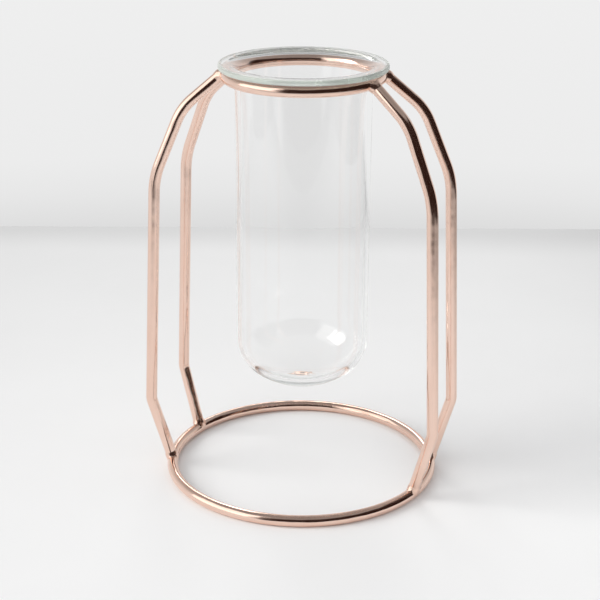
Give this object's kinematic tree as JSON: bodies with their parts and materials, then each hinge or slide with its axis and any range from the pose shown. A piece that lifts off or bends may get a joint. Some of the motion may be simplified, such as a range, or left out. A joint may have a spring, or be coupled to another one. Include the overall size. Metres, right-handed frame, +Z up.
{
  "type": "test tube vase",
  "caption": "Round bent-wire stand with paired legs and a collar ring that holds a clear glass test tube by its flange, as a bud vase.",
  "frame": {"origin": "centre of the base ring, on the table plane under it", "axes": "+Z up along the tube; the two close pairs of legs stand on the +X and the -X side, and +Y is the rear"},
  "size_m": [0.1084, 0.099, 0.1502],
  "materials": {
    "plated_wire": "steel wire, polished and plated rose gold",
    "plated_weld": "weld bead under the same rose-gold plating",
    "clear_glass": "clear, fire-polished"
  },
  "bodies": {
    "stand": {"base_ring": "plated_wire", "base_ring_seam_weld": "plated_weld", "collar_ring": "plated_wire", "collar_ring_seam_weld": "plated_weld", "leg_front_right": "plated_wire", "leg_rear_right": "plated_wire", "leg_rear_left": "plated_wire", "leg_front_left": "plated_wire", "collar_weld_front_right": "plated_weld", "collar_weld_rear_right": "plated_weld", "collar_weld_rear_left": "plated_weld", "collar_weld_front_left": "plated_weld", "foot_weld_front_right": "plated_weld", "foot_weld_rear_right": "plated_weld", "foot_weld_rear_left": "plated_weld", "foot_weld_front_left": "plated_weld"},
    "tube": {"glass_tube": "clear_glass"}
  },
  "joints": [
    {"name": "tube_lift", "type": "slide", "parent": "stand", "child": "tube", "axis": [0, 0, 1], "range_m": [0, 0.125]}
  ]
}
